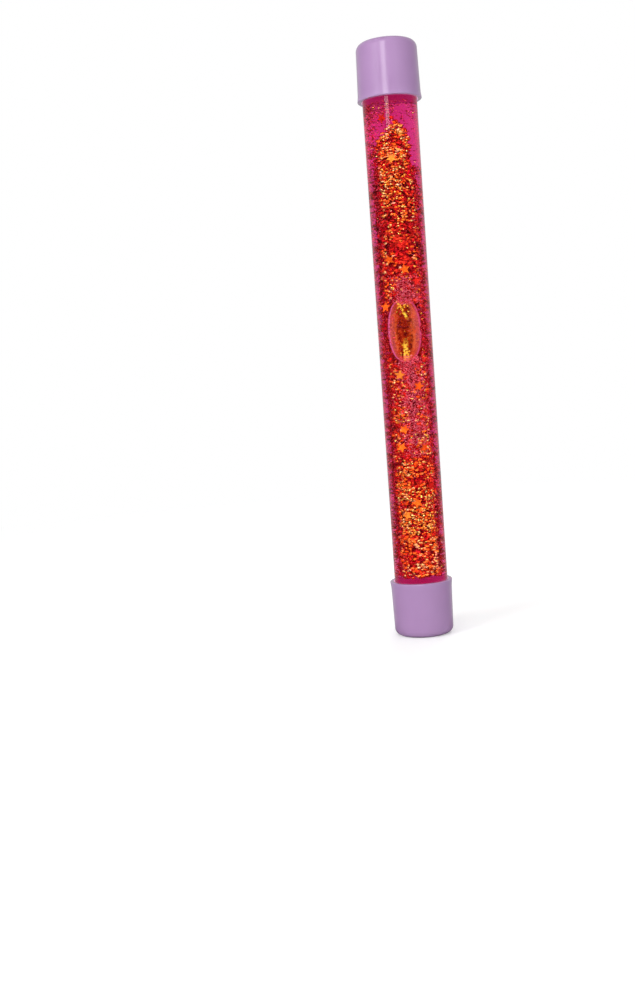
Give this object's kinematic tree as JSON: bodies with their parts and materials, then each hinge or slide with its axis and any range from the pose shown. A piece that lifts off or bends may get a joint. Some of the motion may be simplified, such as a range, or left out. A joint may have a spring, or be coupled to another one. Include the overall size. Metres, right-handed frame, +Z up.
{
  "type": "toy magic wand",
  "caption": "Sealed clear tube of magenta liquid with drifting glitter, foil stars and an air bubble, closed at both ends by rounded lavender caps.",
  "frame": {"origin": "centre of the bottom cap's flat end face, on the wand's axis", "axes": "+Z up along the wand's axis from the bottom cap to the top cap, -Y towards the pictured front, +X to the right of it"},
  "size_m": [0.0188, 0.0188, 0.175],
  "materials": {
    "clear_tube": "clear, polished",
    "cap_plastic": "gloss",
    "plug_plastic": "soft satin",
    "glue": "clear, set",
    "tinted_liquid": "clear liquid",
    "air": "clear",
    "gold_foil": "metallic film",
    "orange_foil": "metallic film",
    "red_foil": "metallic film"
  },
  "bodies": {
    "wand": {"tube": "clear_tube", "top_cap": "cap_plastic", "bottom_cap": "cap_plastic", "top_plug": "plug_plastic", "bottom_plug": "plug_plastic", "top_glue_ring": "glue", "bottom_glue_ring": "glue", "liquid": "tinted_liquid"},
    "bubble": {"air_bubble": "air"},
    "glitter": {"gold_glitter": "gold_foil", "orange_glitter": "orange_foil", "red_glitter": "red_foil"},
    "stars": {"star_01": "red_foil", "star_02": "gold_foil", "star_03": "red_foil", "star_04": "orange_foil", "star_05": "orange_foil", "star_06": "red_foil", "star_07": "orange_foil", "star_08": "gold_foil", "star_09": "orange_foil", "star_10": "orange_foil", "star_11": "orange_foil", "star_12": "orange_foil", "star_13": "red_foil", "star_14": "gold_foil", "star_15": "orange_foil", "star_16": "gold_foil", "star_17": "orange_foil", "star_18": "red_foil", "star_19": "orange_foil", "star_20": "gold_foil", "star_21": "red_foil", "star_22": "orange_foil", "star_23": "gold_foil", "star_24": "red_foil"}
  },
  "joints": [
    {"name": "bubble_rise", "type": "slide", "parent": "wand", "child": "bubble", "axis": [0, 0, 1], "range_m": [-0.07, 0.063], "deforming": ["liquid"]},
    {"name": "glitter_drift", "type": "slide", "parent": "wand", "child": "glitter", "axis": [0, 0, 1], "range_m": [-0.0065, 0.0065], "deforming": ["liquid"]},
    {"name": "star_drift", "type": "slide", "parent": "wand", "child": "stars", "axis": [0, 0, 1], "range_m": [-0.02, 0.01], "deforming": ["liquid"]}
  ]
}
